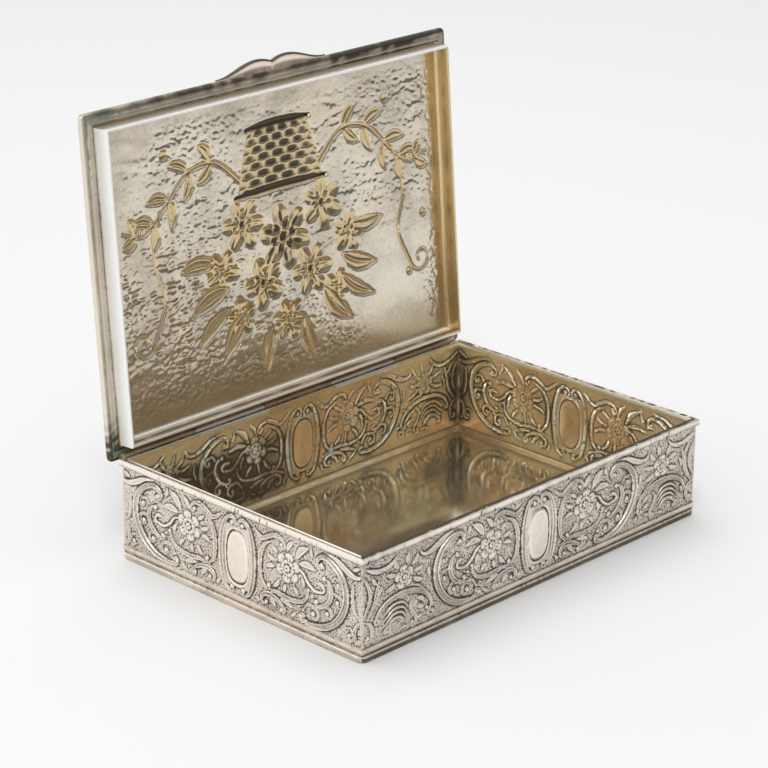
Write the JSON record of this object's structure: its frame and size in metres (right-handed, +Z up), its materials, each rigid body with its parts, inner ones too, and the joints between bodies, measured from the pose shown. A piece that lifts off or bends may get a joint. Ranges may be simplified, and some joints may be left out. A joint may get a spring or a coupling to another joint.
{
  "type": "silver table box",
  "caption": "Rectangular silver table box with embossed walls, a gilt inside and a lid on a full-length knuckle hinge with a lobed thumbpiece, standing open.",
  "frame": {"origin": "centre of the base's underside, on the table", "axes": "+X along the hinge, to the right seen from the front; +Y from the front to the hinge; +Z up"},
  "size_m": [0.1436, 0.1083, 0.1312],
  "materials": {
    "silver": "pressed and chased silver, bright on the high places and dark in the recesses",
    "pale_silver": "pale polished silver with thin remains of gilding",
    "gilt": "worn gilding on silver, glossy"
  },
  "bodies": {
    "box": {"back_wall": "silver", "base_moulding_back": "silver", "base_moulding_front": "silver", "base_moulding_left": "silver", "base_moulding_right": "silver", "base_plate": "gilt", "corner_bead_back_left": "gilt", "corner_bead_back_right": "gilt", "corner_bead_front_left": "gilt", "corner_bead_front_right": "gilt", "floor_bead_back": "gilt", "floor_bead_front": "gilt", "floor_bead_left": "gilt", "floor_bead_right": "gilt", "front_wall": "silver", "hinge_knuckle_2": "silver", "hinge_knuckle_4": "silver", "left_wall": "silver", "right_wall": "silver", "rim_back": "silver", "rim_front": "silver", "rim_left": "silver", "rim_right": "silver"},
    "lid": {"hinge_knuckle_1": "pale_silver", "hinge_knuckle_3": "pale_silver", "hinge_knuckle_5": "pale_silver", "hinge_pin": "silver", "lid_bezel_back": "pale_silver", "lid_bezel_front": "pale_silver", "lid_bezel_left": "pale_silver", "lid_bezel_right": "pale_silver", "lid_moulding_back": "pale_silver", "lid_moulding_front": "pale_silver", "lid_moulding_left": "pale_silver", "lid_moulding_right": "pale_silver", "lid_panel": "pale_silver", "thumbpiece": "pale_silver"}
  },
  "joints": [
    {"name": "lid_hinge", "type": "hinge", "parent": "box", "child": "lid", "pos_m": [0, 0.04865, 0.0297], "axis": [1, 0, 0], "range_deg": [0, 94.8]}
  ]
}
